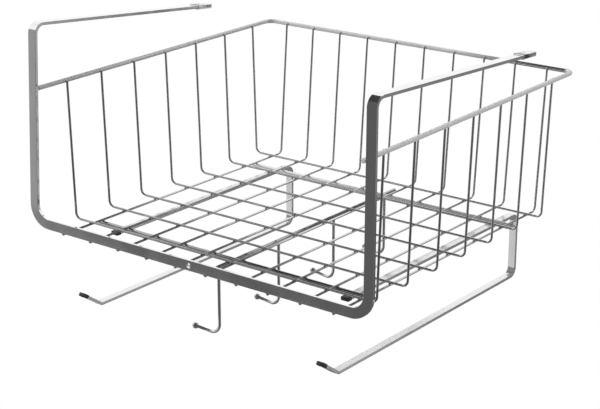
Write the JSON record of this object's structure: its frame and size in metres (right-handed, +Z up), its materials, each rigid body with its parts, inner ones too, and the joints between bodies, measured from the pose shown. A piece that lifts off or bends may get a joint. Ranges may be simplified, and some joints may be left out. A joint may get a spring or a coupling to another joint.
{
  "type": "under shelf basket",
  "caption": "Wire basket that hangs under a shelf by two arms of bent flat bar, with a row of hooks and two bent rails below its floor.",
  "frame": {"origin": "middle of the shelf's front edge: z = 0 is midway between the undersides of the two arms where they leave the uprights, and y = 0 midway between the backs of the uprights", "axes": "+Z up, +X to the right seen from the open front, +Y to the back along the arms"},
  "size_m": [0.4078, 0.3604, 0.2797],
  "materials": {
    "flat_bar": "polished plating on flat bar",
    "rod": "polished plating on rod",
    "wire": "polished plating on thin wire",
    "arm_sleeve": "clear soft sleeve over the plating",
    "rail_cap": "soft black moulding"
  },
  "bodies": {
    "root": {"front_frame": "flat_bar", "rim": "rod", "cross_wire_1": "wire", "cross_wire_2": "wire", "cross_wire_3": "wire", "cross_wire_4": "wire", "cross_wire_5": "wire", "cross_wire_6": "wire", "cross_wire_7": "wire", "long_wire_1": "wire", "long_wire_2": "wire", "long_wire_3": "wire", "long_wire_4": "wire", "long_wire_5": "wire", "long_wire_6": "wire", "long_wire_7": "wire", "long_wire_8": "wire", "long_wire_9": "wire", "long_wire_10": "wire", "front_support_rod": "rod", "back_support_rod": "rod", "hook_rod": "rod", "left_rail": "flat_bar", "right_rail": "flat_bar", "hook_1": "rod", "hook_2": "rod", "hook_3": "rod", "hook_4": "rod", "left_arm_cap": "arm_sleeve", "left_rail_top_cap": "rail_cap", "left_rail_lip_cap": "rail_cap", "right_arm_cap": "arm_sleeve", "right_rail_top_cap": "rail_cap", "right_rail_lip_cap": "rail_cap"}
  },
  "joints": []
}
